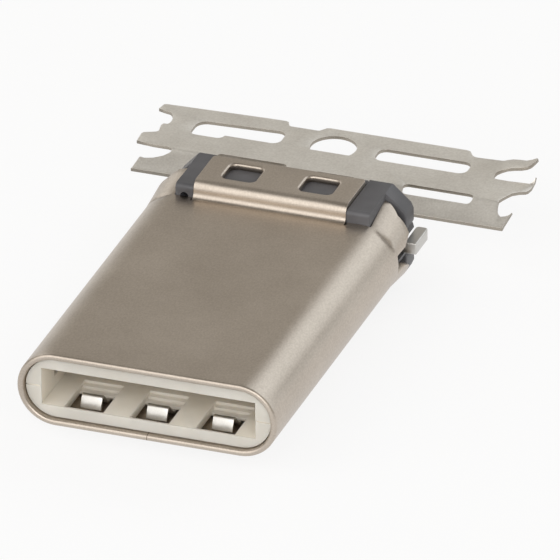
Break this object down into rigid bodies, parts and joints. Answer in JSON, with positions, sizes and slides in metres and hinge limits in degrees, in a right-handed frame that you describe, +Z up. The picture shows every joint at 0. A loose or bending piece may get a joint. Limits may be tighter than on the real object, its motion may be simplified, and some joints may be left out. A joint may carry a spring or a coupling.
{
  "type": "usb-c plug",
  "caption": "Reversible oblong cable plug in a drawn steel shell with stepped rear tongues, its contact blocks set behind it and a punched carrier strip still joined on.",
  "frame": {"origin": "middle of the mating face, on the plug's middle plane", "axes": "+X across the plug's width, +Y back from the mating face to the cable end, +Z up out of the upper flat"},
  "size_m": [0.0124, 0.0176, 0.0034],
  "materials": {
    "shell_steel": "satin nickel plate over drawn steel",
    "spring_steel": "bright spring steel",
    "carrier_steel": "satin rolled sheet",
    "pale_plastic": "moulded, cream",
    "dark_plastic": "moulded, dark grey",
    "contact_metal": "gold-plated copper alloy"
  },
  "bodies": {
    "root": {"outer_shell": "shell_steel", "front_housing": "pale_plastic", "upper_contact_block": "dark_plastic", "lower_contact_block": "dark_plastic", "middle_plate": "carrier_steel", "left_latch": "spring_steel", "right_latch": "spring_steel", "upper_shield_spring": "spring_steel", "lower_shield_spring": "spring_steel", "contact_a1": "contact_metal", "contact_a2": "contact_metal", "contact_a3": "contact_metal", "contact_a4": "contact_metal", "contact_a5": "contact_metal", "contact_a6": "contact_metal", "contact_a7": "contact_metal", "contact_a8": "contact_metal", "contact_a9": "contact_metal", "contact_a10": "contact_metal", "contact_a11": "contact_metal", "contact_a12": "contact_metal", "contact_b1": "contact_metal", "contact_b2": "contact_metal", "contact_b3": "contact_metal", "contact_b4": "contact_metal", "contact_b5": "contact_metal", "contact_b8": "contact_metal", "contact_b9": "contact_metal", "contact_b10": "contact_metal", "contact_b11": "contact_metal", "contact_b12": "contact_metal"}
  },
  "joints": []
}
